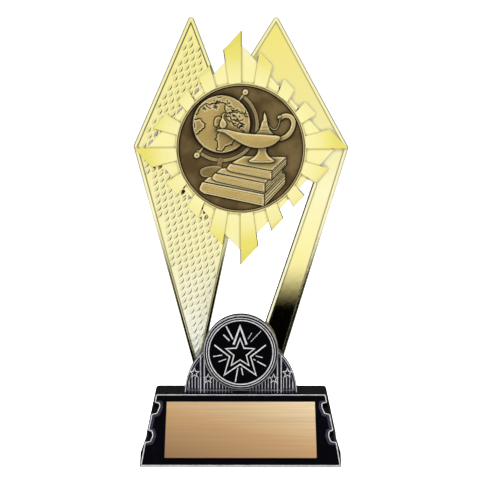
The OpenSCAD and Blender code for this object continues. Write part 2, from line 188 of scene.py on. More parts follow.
class Shape:
    """Points and faces in millimetres, gathered into one mesh."""

    def __init__(self):
        self.points = []
        self.faces = []
        self.marks = []

    def take(self, points):
        """Adds points, and returns the number of the first one."""
        start = len(self.points)
        self.points += [tuple(float(c) for c in p) for p in points]
        return start

    def add(self, points, faces, mark=0):
        start = self.take(points)
        self.faces += [tuple(int(start + i) for i in f) for f in faces]
        self.marks += [mark] * len(faces)

    def loops(self, rings, mark=0, marks=None, closed=False):
        """Skins between rings of equal count. It closes both ends, or joins them if closed."""
        n = len(rings[0])
        last = len(rings) - 1
        start = self.take(p for ring in rings for p in ring)
        for k in range(last + closed):
            a, b = start + k * n, start + (k + 1) % len(rings) * n
            for i in range(n):
                j = (i + 1) % n
                self.faces.append((a + i, a + j, b + j, b + i))
                self.marks.append(marks[k] if marks else mark)
        if not closed:
            for end in (reversed(range(n)), range(last * n, last * n + n)):
                self.faces.append(tuple(start + i for i in end))
                self.marks.append(mark)

    def lathe(self, profile, centre, count=96, marks=None, mark=0):
        """Turns a profile of (radius, y) about the axis through centre along Y."""
        rings = [
            [
                (centre[0] + r * sin(2 * pi * i / count), y,
                 centre[1] + r * cos(2 * pi * i / count))
                for i in range(count)
            ]
            for r, y in profile
        ]
        self.loops(rings, mark=mark, marks=marks)

    def line(self, points, width, height, place, closed=False, mark=0, sink=0.1, crown=0.7):
        """A raised line along 2D points, with a narrower top, on the face that place gives."""
        p = arrays(points)
        n = len(p)
        section = [
            (-0.5, -sink), (-0.5, 0), (-0.5 * crown, height),
            (0.5 * crown, height), (0.5, 0), (0.5, -sink),
        ]
        rings = []
        for i in range(n):
            before = p[i - 1] if closed or i > 0 else 2 * p[0] - p[1]
            after = p[(i + 1) % n] if closed or i < n - 1 else 2 * p[-1] - p[-2]
            u, v = unit(p[i] - before), unit(after - p[i])
            side = unit(xz(-u[1] - v[1], u[0] + v[0]))
            reach = 1 / max(LEAST_MITRE, abs(float(side @ xz(-u[1], u[0]))))
            spots = [(p[i] + side * reach * across * width, up) for across, up in section]
            rings.append([place(q[0], q[1], up) for q, up in spots])
        self.loops(rings, mark=mark, closed=closed)


SOFT_ANGLE = 28  # degrees: sharper edges of a CAD node are rounded, and the others shade smoothly


def new_object(name, data):
    obj = bpy.data.objects.new(name, data)
    bpy.context.collection.objects.link(obj)
    return obj


def new_mesh(name, shape, materials):
    """A mesh in metres from a Shape. The faces' marks choose among the materials."""
    mesh = bpy.data.meshes.new(name)
    mesh.from_pydata([tuple(c * MM for c in p) for p in shape.points], [], shape.faces)
    for material in materials:
        mesh.materials.append(material)
    mesh.polygons.foreach_set("material_index", shape.marks)
    return mesh


def finished(name, mesh, slot, nodes, smooth, bevel, segments, angle):
    """An object that rides on the CAD's body in place of the nodes, with its edges rounded."""
    obj = new_object(name, mesh)
    mesh.shade_smooth()
    mesh.set_sharp_from_angle(angle=radians(smooth))
    if bevel:
        edges = obj.modifiers.new("edges", "BEVEL")
        edges.width = bevel * MM
        edges.segments = segments
        edges.limit_method = "ANGLE"
        edges.angle_limit = radians(angle)
        edges.harden_normals = True
    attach(obj, "root")
    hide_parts(*nodes)
    return obj


def piece(name, shape, slot, nodes, materials, smooth, bevel=0, angle=SOFT_ANGLE, weld=False):
    """Turns a Shape into a piece that takes the place of the nodes."""
    mesh = new_mesh(name, shape, materials)
    bm = bmesh.new()
    bm.from_mesh(mesh)
    if weld:
        bmesh.ops.remove_doubles(bm, verts=bm.verts, dist=1e-7)
    bmesh.ops.recalc_face_normals(bm, faces=bm.faces)
    bm.to_mesh(mesh)
    bm.free()
    mesh.update()
    return finished(name, mesh, slot, nodes, smooth, bevel, 1, angle)


def softened(node, slot, material, bevel, segments=2):
    """A copy of a CAD node with its flat faces rejoined and its edges rounded."""
    bm = bmesh.new()
    bm.from_mesh(frame["nodes"][node].data)
    bmesh.ops.remove_doubles(bm, verts=bm.verts, dist=2e-6)
    bmesh.ops.dissolve_limit(
        bm, angle_limit=radians(1), verts=bm.verts, edges=bm.edges, delimit={"NORMAL"}
    )
    mesh = bpy.data.meshes.new(node + "_detail")
    bm.to_mesh(mesh)
    bm.free()
    mesh.materials.append(material)
    finished(node + "_detail", mesh, slot, [node], SOFT_ANGLE, bevel, segments, SOFT_ANGLE)


def front(y):
    """Places (across, up, out) on an upright face at depth y."""
    return lambda u, v, h: (u, y - h, v)


def slope_place(u, v, h):
    """Places (across, up the slope, out) on the fascia's sloping face."""
    return (
        u,
        BASE_FRONT + v * cos(SLOPE) - h * sin(SLOPE),
        v * sin(SLOPE) + h * cos(SLOPE),
    )


# ---- Materials ----


class Nodes:
    """Short calls for building a node tree."""

    def __init__(self, tree):
        self.tree = tree

    def feed(self, socket, value):
        """Links a socket to another node's output, or sets it to a plain value or colour."""
        if isinstance(value, bpy.types.NodeSocket):
            self.tree.links.new(value, socket)
        elif socket.type == "RGBA":
            socket.default_value = (*value, 1)
        else:
            socket.default_value = value

    def node(self, kind, sockets, **settings):
        made = self.tree.nodes.new("ShaderNode" + kind)
        for key, value in settings.items():
            setattr(made, key, value)
        for key, value in sockets.items():
            self.feed(made.inputs[key], value)
        return made

    def coordinates(self, kind):
        return self.node("TexCoord", {}).outputs[kind]

    def axes(self, where):
        return self.node("SeparateXYZ", {0: where}).outputs

    def spread(self, value, low, high, out_low, out_high, kind="SMOOTHSTEP"):
        """The value, with its range from low to high moved to out_low and out_high."""
        ends = {"From Min": low, "From Max": high, "To Min": out_low, "To Max": out_high}
        made = self.node("MapRange", {"Value": value, **ends}, interpolation_type=kind)
        return made.outputs["Result"]

    def maths(self, kind, a, b):
        return self.node("Math", {0: a, 1: b}, operation=kind).outputs[0]


class Finish(Nodes):
    """Short calls for building a new material's node tree."""

    def __init__(self, name, **values):
        self.material = bpy.data.materials.new(name)
        self.material.use_nodes = True
        super().__init__(self.material.node_tree)
        self.shader = self.tree.nodes["Principled BSDF"]
        self.put(**values)

    def put(self, **values):
        """Sets or links the shader's sockets."""
        for key, value in values.items():
            self.feed(self.shader.inputs[key.replace("_", " ")], value)

    def position(self, scale=(1, 1, 1)):
        """Object position, stretched by scale. One unit is a metre."""
        where = {"Vector": self.coordinates("Object"), "Scale": scale}
        return self.node("Mapping", where).outputs["Vector"]

    def noise(self, scale, detail=3, roughness=0.55, stretch=(1, 1, 1)):
        where = self.position(stretch)
        sockets = {"Vector": where, "Scale": scale, "Detail": detail, "Roughness": roughness}
        return self.node("TexNoise", sockets).outputs["Fac"]

    def ramp(self, value, *stops):
        made = self.node("ValToRGB", {"Fac": value})
        band = made.color_ramp
        for place, _ in stops[2:]:
            band.elements.new(place)
        for element, (place, colour) in zip(band.elements, stops):
            element.position = place
            element.color = (*colour, 1)
        return made.outputs["Color"]

    def height(self):
        return self.axes(self.position())["Z"]

    def radius(self):
        """Distance from the medallion's axis."""
        centre = (MEDAL_X * MM, 0, MEDAL_Z * MM)
        value = self.coordinates("Object")
        for kind, other in (("SUBTRACT", centre), ("MULTIPLY", (1, 0, 1))):
            value = self.node("VectorMath", {0: value, 1: other}, operation=kind).outputs[0]
        return self.node("VectorMath", {0: value}, operation="LENGTH").outputs["Value"]

    def mix(self, share, a, b):
        """Mixes two colours. Each is a socket or a plain colour."""
        return self.node("Mix", {0: share, 6: a, 7: b}, data_type="RGBA").outputs[2]

    def bump(self, height, distance, strength=1):
        sockets = {"Height": height, "Distance": distance, "Strength": strength}
        self.put(Normal=self.node("Bump", sockets).outputs["Normal"])

    def openness(self, reach):
        """How open the surface is within reach: 1 on a flat face, less in a corner."""
        return self.node("AmbientOcclusion", {"Distance": reach}, samples=12).outputs["AO"]

    def attribute(self, name):
        return self.node("Attribute", {}, attribute_name=name).outputs["Fac"]


def gilt(
    name, stops, along=Finish.height, rough=0.06, crevice=0.7, peel=0.000006, reach=0.0013,
    crevice_shade_colour=(0.3, 0.29, 0.17)
):
    """Vacuum-metallised gold plastic. Its colour is graded along one measure of place as a painted
    reflection, with a slow colour drift, faint orange peel, handling haze and painted shade in the
    crevices.
    Stops are in millimetres."""
    n = Finish(name, Metallic=1)
    low, high = stops[0][0], stops[-1][0]
    place = n.spread(along(n), low * MM, high * MM, 0, 1, "LINEAR")
    # The gold's tone graded by height or radius: a painted reflection
    gold_and_painted_reflection = n.ramp(place, *[((at - low) / (high - low), colour) for at, *colour in stops])
    drift = n.noise(55, 2)
    worn = n.mix(n.spread(drift, 0.3, 0.7, 0, 0.1), gold_and_painted_reflection, (0.9, 0.72, 0.25))
    # Painted shade: darker where ambient occlusion finds a crevice
    shaded = n.spread(n.openness(reach), 0.5, 0.92, crevice, 0)
    haze = n.noise(900, 4)
    n.put(
        Base_Color=n.mix(shaded, worn, crevice_shade_colour),
        Roughness=n.spread(haze, 0.3, 0.75, rough * 0.7, rough * 1.5),
    )
    n.bump(n.noise(420, 2), peel)
    return n.material


def black_gloss(name, tone=(0.001, 0.001, 0.002), rough=0.2, specular=0.07):
    """Moulded black plastic with a soft gloss, dust haze and faint flow marks."""
    n = Finish(name, Metallic=0, Specular_IOR_Level=specular)
    dust = n.spread(n.noise(260, 5, 0.7), 0.5, 0.85, 0, 1)
    flow = n.noise(120, 3, stretch=(1, 1, 3))
    n.put(
        Base_Color=n.mix(dust, tone, tuple(c * 1.5 + 0.001 for c in tone)),
        Roughness=n.spread(flow, 0.3, 0.7, rough * 0.8, rough * 1.3),
    )
    n.bump(n.noise(700, 2), 0.000005)
    return n.material


def rubbed_silver(name, bright, dull, rough=0.4, metallic=0.5):
    """Silver highlight rubbed over a moulded ridge, thin in places."""
    n = Finish(name, Metallic=metallic)
    wear = n.noise(800, 4, 0.65)
    n.put(
        Base_Color=n.mix(n.spread(wear, 0.32, 0.62, 1, 0), bright, dull),
        Roughness=n.spread(wear, 0.3, 0.7, 0.75 * rough, 1.25 * rough),
    )
    n.bump(wear, 0.00001)
    return n.material


def brushed_plate():
    """Anodised copper-gold aluminium, brushed from side to side, with a painted highlight that makes it
    paler to the upper right.
    """
    n = Finish("brushed_copper_gold", Metallic=0.45)
    grain = n.noise(1, 5, 0.6, (30, 2400, 2400))
    streak = n.noise(1, 3, 0.5, (9, 700, 700))
    # Painted highlight: the colour grows paler to the right and upwards
    place = n.axes(n.position())
    to_the_right = n.spread(place["X"], -0.03, 0.03, 0, 0.4, "LINEAR")
    upwards = n.spread(place["Z"], 0.002, 0.022, 0, 0.6, "LINEAR")
    base = n.ramp(
        n.maths("ADD", to_the_right, upwards),
        (0, (0.225, 0.12, 0.05)), (0.5, (0.51, 0.31, 0.142)), (1, (0.84, 0.68, 0.42)),
    )
    base = n.mix(n.spread(grain, 0.35, 0.65, 0, 0.25), base, (0.31, 0.18, 0.085))
    base = n.mix(n.spread(streak, 0.5, 0.7, 0, 0.12), base, (0.25, 0.14, 0.065))
    n.put(Base_Color=base, Roughness=n.spread(grain, 0.3, 0.7, 0.36, 0.5))
    n.bump(grain, 0.000006, 0.7)
    return n.material


def plain(name, colour, second, rough, metallic=0, scale=300, bump=0.00001, detail=4):
    """A simple finish with mottled colour and roughness."""
    n = Finish(name, Metallic=metallic)
    mottle = n.noise(scale, detail, 0.6)
    n.put(
        Base_Color=n.mix(n.spread(mottle, 0.3, 0.7, 0, 1), colour, second),
        Roughness=n.spread(mottle, 0.3, 0.7, rough * 0.85, rough * 1.15),
    )
    n.bump(mottle, bump)
    return n.material


def antique_bronze():
    """Antiqued bronze: dark patina in the recesses with painted shadow round the relief, rubbed bright
    along the relief's edges.
    """
    n = Finish("antique_bronze", Metallic=0.9)
    shade = n.spread(n.attribute("shade"), 0, 0.82, 0, 1, "LINEAR")
    cloud = n.noise(95, 3, 0.5)
    grain = n.noise(1500, 3, 0.6)
    field = n.mix(n.spread(cloud, 0.36, 0.66, 0, 1), (0.105, 0.066, 0.024), (0.22, 0.152, 0.06))
    relief = n.mix(n.spread(cloud, 0.3, 0.7, 0, 1), (0.56, 0.4, 0.13), (0.66, 0.48, 0.17))
    tone = n.mix(n.attribute("raised"), field, relief)
    tone = n.mix(n.attribute("edge"), tone, (1, 0.87, 0.48))
    # Patina and painted shadow, from the shade attribute, darken the tone
    tone = n.mix(shade, tone, (0.008, 0.004, 0.001))
    n.put(
        Base_Color=n.mix(n.spread(grain, 0.4, 0.7, 0, 0.12), tone, (0.1, 0.07, 0.04)),
        Roughness=n.spread(grain, 0.3, 0.7, 0.32, 0.4),
    )
    n.bump(grain, 0.000003)
    return n.material


def felt():
    """Pressed felt: short mottled fibres in dark grey."""
    n = Finish("pressed_felt", Metallic=0, Roughness=0.95)
    fibre = n.noise(2600, 6, 0.75, (1, 1.6, 1))
    blotch = n.noise(240, 3)
    tone = n.mix(n.spread(fibre, 0.35, 0.7, 0, 1), (0.018, 0.018, 0.02), (0.06, 0.06, 0.065))
    n.put(Base_Color=n.mix(n.spread(blotch, 0.3, 0.7, 0, 0.4), tone, (0.03, 0.03, 0.034)))
    n.bump(fibre, 0.0001)
    return n.material


GILT_PALE = gilt("gilt_pale", [
    (30, 1, 1, 0.93), (55, 0.96, 0.95, 0.76), (80, 0.96, 0.91, 0.52), (130, 0.93, 0.86, 0.4),
    (175, 0.93, 0.85, 0.32)], crevice=0.4)
GILT_WING = gilt("gilt_wing", [
    (60, 0.9, 0.76, 0.3), (80, 0.98, 0.91, 0.4), (105, 0.99, 0.95, 0.57), (135, 0.9, 0.82, 0.36),
    (172, 0.9, 0.8, 0.2)], rough=0.02, crevice=0.95, peel=0.0000015, reach=0.002, crevice_shade_colour=(0.42, 0.42, 0.36))
GILT_BLADE = gilt("gilt_blade", [
    (26, 0.99, 0.92, 0.46), (31, 0.96, 0.88, 0.38), (37, 0.87, 0.79, 0.18), (46, 0.84, 0.74, 0.14)
], Finish.radius)
GILT_LOW = gilt("gilt_low_blade", [
    (26, 0.99, 0.92, 0.43), (32, 0.98, 0.91, 0.42), (42, 0.97, 0.93, 0.52)], Finish.radius)
GILT_RIM = gilt("gilt_rim", [
    (30, 0.95, 0.92, 0.68), (100, 0.98, 0.94, 0.58), (175, 0.94, 0.89, 0.42)])
# Painted reflections for the wings' narrow faces and the lugs' lee facets: their tones vary with height,
# standing for what the real faces reflect
GROOVE_LEFT = gilt("groove_left", [
    (30, 0.16, 0.16, 0.13), (60, 0.3, 0.28, 0.12), (85, 0.62, 0.52, 0.14), (115, 0.36, 0.3, 0.06),
    (140, 0.1, 0.09, 0.015), (175, 0.1, 0.09, 0.015)])
GROOVE_RIGHT = gilt("groove_right", [
    (30, 0.35, 0.34, 0.2), (110, 0.58, 0.54, 0.24), (175, 0.7, 0.63, 0.2)])
LEE = gilt("lug_lee", [
    (30, 0.02, 0.02, 0.02), (60, 0.1, 0.1, 0.08), (80, 0.2, 0.19, 0.11), (100, 0.33, 0.3, 0.12),
    (130, 0.2, 0.18, 0.06), (175, 0.1, 0.09, 0.03)])
RIM_FACE = gilt("rim_face", [
    (30, 0.01, 0.01, 0.012), (60, 0.012, 0.012, 0.012), (72, 0.06, 0.06, 0.05), (84, 0.6, 0.58, 0.38),
    (96, 0.98, 0.94, 0.6), (140, 0.96, 0.91, 0.46), (175, 0.92, 0.84, 0.3)])
# Painted shade for the lugs next to the sunburst: lilac-grey lugs with black lee facets
LUG_SHADED = gilt("lug_shaded", [(30, 0.5, 0.49, 0.46), (175, 0.5, 0.48, 0.47)])
LEE_SHADED = gilt("lug_lee_shaded", [(30, 0.02, 0.02, 0.02), (175, 0.025, 0.02, 0.03)])
BLACK = black_gloss("black_gloss", specular=0.025)
BLACK_SHELL = black_gloss("black_shell", (0.0016, 0.0016, 0.002), 0.22, 0.12)
BLACK_CREST = black_gloss("black_crest", (0.003, 0.003, 0.006), 0.3)
# Painted sheen for the fascia's side ridges
BLACK_SHEEN = black_gloss("black_sheen", (0.022, 0.02, 0.037), 0.3, 0.2)
BLACK_INNER = plain("black_matte", (0.012, 0.012, 0.013), (0.02, 0.02, 0.021), 0.6)
SILVER = rubbed_silver("rubbed_silver", (0.86, 0.86, 0.85), (0.6, 0.6, 0.62))
SILVER_CREST = rubbed_silver("rubbed_silver_crest", (0.64, 0.64, 0.69), (0.36, 0.36, 0.41))
SILVER_DIM = rubbed_silver("rubbed_silver_dim", (0.3, 0.3, 0.35), (0.1, 0.1, 0.12))
SILVER_BAND = rubbed_silver("rubbed_silver_band", (0.45, 0.45, 0.47), (0.22, 0.22, 0.24), 0.3, 0.4)
PLATE = brushed_plate()
BRONZE = antique_bronze()
STEEL = plain("zinc_steel", (0.55, 0.56, 0.58), (0.42, 0.43, 0.45), 0.35, 1, 500)
IRON = plain("cast_iron", (0.16, 0.16, 0.165), (0.08, 0.08, 0.085), 0.65, 0.8, 700, 0.00008, 6)
FOAM = plain("foam_tape", (0.78, 0.78, 0.75), (0.7, 0.7, 0.68), 0.8, 0, 900, 0.00003)
FELT = felt()


# ---- Wings ----

# Each wing's corners as (x, z), anticlockwise, with their radii. The tip's sharp corner
# stands higher than the rounded tip
LEFT = [(-19.8, TOTAL_H + 1.84), (-43, 123.5), (-17.3, 27.8), (2, 119.1)]
LEFT_R = [1.1, 1.2, 0.6, 1.2]
RIGHT = [
    (14.1, TOTAL_H + 0.94), (-6.6, 143), (2.4, 118.8), (29.2, 109.1), (0.4, 24.8), (13.1, 24.8), (43, 122.9)
]
RIGHT_R = [1.1, 0.3, 0.6, 0.8, 0.3, 0.3, 1.2]
LEAST_R = 0.12
FIELD_SINK = 0.6
FIELD_Y = WING_FRONT + FIELD_SINK
FOOT_LOW = 14
FOOT_HIGH = 31.8

# The sunburst is a diamond, narrower than it is high. Its reach is measured upwards
ASPECT = 0.913
HIGH_REACH = 46.4
LOW_REACH = 41.2


def rim_section(groove):
    """Rim section from the front field round to the back field: inset and depth."""
    ahead = ((1.36 + groove, FIELD_SINK), (1.36, FIELD_SINK), (1.32, 0.06), (1.26, 0), (1.08, 0),
             (0.3, 0.04), (0.04, 0.5), (0, 0.6))
    behind = ((0, 0.3), (0.25, 0), (1.45, 0), (1.7, 0.15), (1.85, 1))
    return [(d, WING_FRONT + y) for d, y in ahead] + [(d, WING_BACK - y) for d, y in behind]


def wing_plate(corners, radii, groove, face=1):
    """A wing's plate with its raised rim. The rim's flat face can take a mark of its own."""
    shape = Shape()
    rings = []
    for d, y in rim_section(groove):
        turned = []
        for (a, b, c), r in zip(neighbours(corners), radii):
            convex = cross(b - a, c - b) > 0
            turned.append(max(LEAST_R, r - d) if convex else r + d)
        rings.append([(p[0], y, p[1]) for p in rounded(inset(corners, d), turned)])
    # The groove (mark 2) and the rim's flat face (face) take the finishes with painted reflections
    shape.loops(rings, marks=[2, 2, 1, 1, face] + [1] * 5 + [0, 0])
    return shape


def walls(n):
    """The sides between a ring of n points and the n points after it."""
    return [(k, n + k, n + (k + 1) % n, (k + 1) % n) for k in range(n)]


def foot(shape, low_x, high_x):
    """The block by which a wing stands in the base."""
    points = [
        (x, y, z) for y in (WING_FRONT, WING_BACK)
        for x, z in ((low_x, FOOT_LOW), (high_x, FOOT_LOW), (high_x, FOOT_HIGH), (low_x, FOOT_HIGH))
    ]
    shape.add(points, [(0, 1, 2, 3), (7, 6, 5, 4)] + walls(4))


# The lugs stand on a lattice. These are its two steps, the lugs' directions and half sizes
TREAD_ORIGIN = xz(-20, 100.8)
TREAD_A = xz(2.52, 0.955)
TREAD_B = xz(0.33, -2.61)
TREAD_ALONG = unit(TREAD_A - TREAD_B)
TREAD_ACROSS = xz(TREAD_ALONG[1], -TREAD_ALONG[0])
LUG_LONG = 1.8
LUG_WIDE = 0.72
LUG_RIDGE = 0.66
LUG_HEIGHT = 0.36
LUG_SINK = 0.05
LUG_CLEAR = 2.7  # least distance from a lug's middle to the wing's edge
SHADED_REACH = LOW_REACH + 2.2


def inside_by(corners, p):
    """Distance from p to the nearest side of a convex anticlockwise outline."""
    return min(float(cross(unit(b - a), p - a)) for a, b, _ in neighbours(corners))


def tread(shape, corners, open_marks, shaded_marks):
    """Rows of slanting lozenge lugs over the left wing's field, with lee facets in painted shade.
    Lugs close to the sunburst take the marks for their painted shade."""
    spot = random.Random(7)
    for i in range(-24, 25):
        for j in range(-40, 41):
            p = TREAD_ORIGIN + i * TREAD_A + j * TREAD_B
            if inside_by(corners, p) < LUG_CLEAR:
                continue
            away = abs(p[0] - MEDAL_X) / ASPECT + abs(p[1] - MEDAL_Z)
            mark, lee = shaded_marks if away < SHADED_REACH else open_marks
            size = 1 + spot.uniform(-0.08, 0.08)
            along, across = TREAD_ALONG * LUG_LONG * size, TREAD_ACROSS * LUG_WIDE * size
            ridge = TREAD_ALONG * LUG_RIDGE
            flat = [p - along, p - 0.25 * along + across, p + 0.25 * along + across, p + along,
                    p + 0.25 * along - across, p - 0.25 * along - across]
            tops = [p - ridge + 0.54 * across, p + ridge + 0.54 * across]
            levels = ((flat, LUG_SINK), (flat, 0), (tops, -LUG_HEIGHT))
            points = [(q[0], FIELD_Y + deep, q[1]) for level, deep in levels for q in level]
            slopes = [(6, 7, 12), (8, 9, 13), (9, 10, 13), (10, 11, 12, 13), (11, 6, 12)]
            shape.add(points, [tuple(range(6))] + walls(6) + slopes, mark)
            # A copy of the lee facet, coloured with painted shade
            shape.add([points[k] for k in (7, 8, 13, 12)], [(0, 1, 2, 3)], lee)


left = wing_plate(LEFT, LEFT_R, 0.42, 4)
foot(left, -20.5, -14)
tread(left, LEFT, (0, 3), (5, 6))
piece("left_wing_detail", left, "gilt_left", ["left_wing"],
      [GILT_PALE, GILT_RIM, GROOVE_LEFT, LEE, RIM_FACE, LUG_SHADED, LEE_SHADED], smooth=20, weld=True)

right = wing_plate(RIGHT, RIGHT_R, 0.4)
foot(right, 4, 12)
piece("right_wing_detail", right, "gilt_right", ["right_wing"],
      [GILT_WING, GILT_RIM, GROOVE_RIGHT], smooth=20)


# ---- Sunburst ----

BLADES = 16
PITCH = 360 / BLADES
BLADE = 10.7  # degrees across a high blade
SEAT_R = MEDAL_R + 0.2
SEAT_FLOOR = 4.7
SEAT_BACK = 5.85
BLADE_ROOT = SEAT_R + 0.3
LEAN = 0.3
SKIRT = 1.3
HUB = 0.5  # radius of the small flat in the middle of a turned shape


def burst_point(reach, degrees):
    """The diamond's border in a direction, clockwise from the top."""
    a = radians(degrees)
    r = reach / (abs(sin(a)) + abs(cos(a)))
    return xz(MEDAL_X + ASPECT * r * sin(a), MEDAL_Z + r * cos(a))


def ring_point(r, degrees):
    a = radians(degrees)
    return xz(MEDAL_X + r * sin(a), MEDAL_Z + r * cos(a))


def leaning(degrees, way):
    a = radians(degrees)
    return way * LEAN * xz(cos(a), -sin(a))


def blade(shape, a0, a1, reach, y0, y1, drop0, drop1, chamfer0, chamfer1, mark):
    """One blade from the seat outwards, between angles a0 and a1, with depth y0 to y1
    across its face, a slanting facet at its end and sides that lean outwards."""
    in0, in1 = ring_point(BLADE_ROOT, a0), ring_point(BLADE_ROOT, a1)
    out0, out1 = burst_point(reach, a0), burst_point(reach, a1)
    cut0 = out0 + unit(in0 - out0) * chamfer0
    cut1 = out1 + unit(in1 - out1) * chamfer1
    side0, side1 = leaning(a0, -1), leaning(a1, 1)
    ends = [(in0, y0), (in1, y1), (cut1, y1), (cut0, y0), (out0, y0 + drop0), (out1, y1 + drop1)]
    top = [(p[0], y, p[1]) for p, y in ends]
    skirt = [
        (p[0] + side[0], min(y + SKIRT, WING_FRONT - 0.1), p[1] + side[1])
        for (p, y), side in zip(ends, (side0, side1, side1, side0, side0, side1))
    ]
    back = [(p[0], WING_FRONT, p[2]) for p in skirt]
    order = (0, 3, 4, 5, 2, 1)
    faces = [(0, 1, 2, 3), (3, 2, 5, 4), tuple(12 + i for i in order[::-1])]
    for i, j in zip(order, order[1:] + order[:1]):
        faces += [(i, j, 6 + j, 6 + i), (6 + i, 6 + j, 12 + j, 12 + i)]
    shape.add(top + skirt + back, faces, mark)


def sunburst():
    burst = Shape()
    for k in range(BLADES):
        ridge = k * PITCH
        tip = abs(cos(radians(2 * ridge))) ** 6
        blade(burst, ridge - BLADE, ridge, HIGH_REACH, BURST_FRONT + 0.75, BURST_FRONT,
              0.1, 0.18 + 0.3 * tip, 0.7, 1.3 + 2.7 * tip, 0)
        blade(burst, ridge, ridge + PITCH - BLADE, LOW_REACH, BURST_FRONT + 1.7, BURST_FRONT + 1.5,
              0.1, 0.14, 0.7, 1.1, 1)
    lip = [(SEAT_R + out, BURST_FRONT + deep) for out, deep in
           ((0.6, 1.4), (0.35, 0.5), (0.06, 0.5), (0, 0.56))]
    burst.lathe(
        [(HUB, SEAT_BACK), (SEAT_R + 0.6, SEAT_BACK), *lip, (SEAT_R, SEAT_FLOOR), (HUB, SEAT_FLOOR)],
        (MEDAL_X, MEDAL_Z), 128, mark=1,
    )
    piece("sunburst_detail", burst, "gilt_burst", ["sunburst_holder"], [GILT_BLADE, GILT_LOW],
          smooth=4, bevel=0.04, angle=20)


sunburst()


# ---- Medallion ----


np.seterr(divide="ignore", invalid="ignore")  # the grid's middle and level sides divide by 0


def disc_grid(count, radius):
    """A square grid bent onto a disc, so that its border is a true circle."""
    t = np.linspace(-1, 1, count)
    a, b = np.meshgrid(t, t)
    r = np.maximum(np.abs(a), np.abs(b))
    wide = np.abs(a) > np.abs(b)
    phi = np.where(wide, pi / 4 * b / a, pi / 2 - pi / 4 * a / b)
    phi = np.where(r == 0, 0, phi)
    sign = np.where(wide, np.sign(a), np.sign(b))
    return radius * r * sign * np.cos(phi), radius * r * sign * np.sin(phi)


GRID = 281
GX, GZ = disc_grid(GRID, MEDAL_R)
MEDAL_RIM = 0.75
GROOVE_SPREAD = 1.35  # every groove is cut this much wider than its given width
RIM_SHARE = 0.8  # how bright the rim's bronze is, from 0 for the field to 1 for the relief


def bell(d, width):
    """A soft bump about d = 0."""
    return np.exp(-((d / width) ** 2))


def segment_distance(a, b):
    ab = b - a
    t = ((GX - a[0]) * ab[0] + (GZ - a[1]) * ab[1]) / float(ab @ ab)
    t = np.clip(t, 0, 1)
    return np.hypot(GX - a[0] - t * ab[0], GZ - a[1] - t * ab[1])


def from_line(points, closed=False):
    """Distance from every grid point to a line."""
    p = arrays(points)
    return np.minimum.reduce([segment_distance(a, b) for a, b in zip(p, p[1:] + p[:closed])])


def from_point(point):
    return np.hypot(GX - point[0], GZ - point[1])


def in_outline(points):
    """Distance inwards from a closed outline, negative outside."""
    p = arrays(points)
    inside = np.zeros(GX.shape, bool)
    for a, b in zip(p, p[1:] + p[:1]):
        crosses = (a[1] > GZ) != (b[1] > GZ)
        x = a[0] + (GZ - a[1]) * (b[0] - a[0]) / (b[1] - a[1])
        inside ^= crosses & (GX < x)
    d = from_line(points, closed=True)
    return np.where(inside, d, -d)


def in_form(points, steps):
    """Distance inwards from a smooth closed outline through the points."""
    return in_outline(spline(points, steps, closed=True))


class Relief:
    """Heights and tones over the medallion's face, painted from back to front."""

    def __init__(self):
        self.height, self.raised, self.edge, self.shade = np.zeros((4, GRID, GRID))

    def darken(self, shade):
        self.shade = np.maximum(self.shade, shade)

    def add(self, d, level, dome=0, soft=0.5, tone=1, edge=0.9, cast=0.85, far=1.1):
        """Lays a form whose inward distance is d, rising to level with a rounded border.
        It paints shadow on what lies round it: cast says how much, and far over what width."""
        inside = d > 0
        t = np.clip(d / soft, 0, 1)
        rise = level * (0.72 + 0.28 * np.sqrt(1 - (1 - t) ** 2)) + dome * np.clip(d, 0, None)
        self.height = np.where(inside, rise, self.height)
        glow = np.minimum(1, 1.2 * edge) * bell(d - 0.38, 0.3)
        self.edge = np.where(inside, glow, self.edge)
        self.raised = np.where(inside, tone, self.raised)
        # Painted shadow round the form, and a dark outline at its edge
        self.darken(cast * np.exp(np.clip(d, -50, 0) / far))
        self.darken(min(1, 1.4 * cast) * bell(d, 0.45))
        self.shade = np.where(inside, 0.6 * np.exp(-d / 0.08), self.shade)

    def groove(self, points, width, depth, dark, lit):
        """Cuts a thin dark line with a bright lip on each side."""
        width = GROOVE_SPREAD * width
        d = from_line(points)
        cut = bell(d, width)
        self.height = self.height - depth * cut
        self.darken(dark * cut)
        lip = bell(d - 2.2 * width, 1.1 * width)
        self.edge = np.maximum(self.edge, lit * lip * (self.raised > 0.3))


GLOBE = xz(-7.7, 9.6)
GLOBE_R = 11.5
# Generic lands: the corners of each, its seed and how much its coast wanders
LANDS = [
    ([(-18.6, 13.4), (-16.4, 15.6), (-14.2, 17.6), (-10.8, 17.8), (-8.2, 18.2), (-5.4, 17.4),
      (-6.4, 15.6), (-3.6, 14.2), (-1.2, 14.8), (1, 14), (3.2, 12.4), (4.6, 18),
      (-2, 23), (-12, 23), (-19, 19)], 3, 0.5),
    ([(-19.6, 11.2), (-16.2, 11.8), (-15.2, 10.4), (-14.3, 8.6), (-16, 7), (-17.4, 5.8),
      (-19.6, 5.4)], 11, 0.5),
    ([(-9.4, 5.6), (-7.6, 6.9), (-4.6, 6.4), (-2.4, 3.8), (-3.6, 1.2), (-6.4, 0.4),
      (-9.6, -0.8), (-9.2, 2), (-10.2, 3.4)], 19, 0.5),
    ([(-10.6, 11), (-9, 12.8), (-7.6, 11.6), (-8.2, 9.2), (-9.6, 8.2), (-10.8, 9.2)], 23, 0.35),
    ([(-5.8, 13), (-4.4, 12.6), (-3, 11.2), (-1.2, 10.6), (0.4, 9), (-0.6, 7.8),
      (-2.6, 9), (-4.8, 11)], 31, 0.5),
]


def coast(points, seed, wobble):
    """An irregular coastline through given points."""
    pick = random.Random(seed)
    line = arrays(points)
    for size in (wobble, wobble * 0.75, wobble * 0.55):
        finer = []
        for a, b in zip(line, line[1:] + line[:1]):
            away = xz(-(b - a)[1], (b - a)[0])
            finer += [a, (a + b) / 2 + away * pick.uniform(-size, size) * 0.7]
        line = finer
    return line


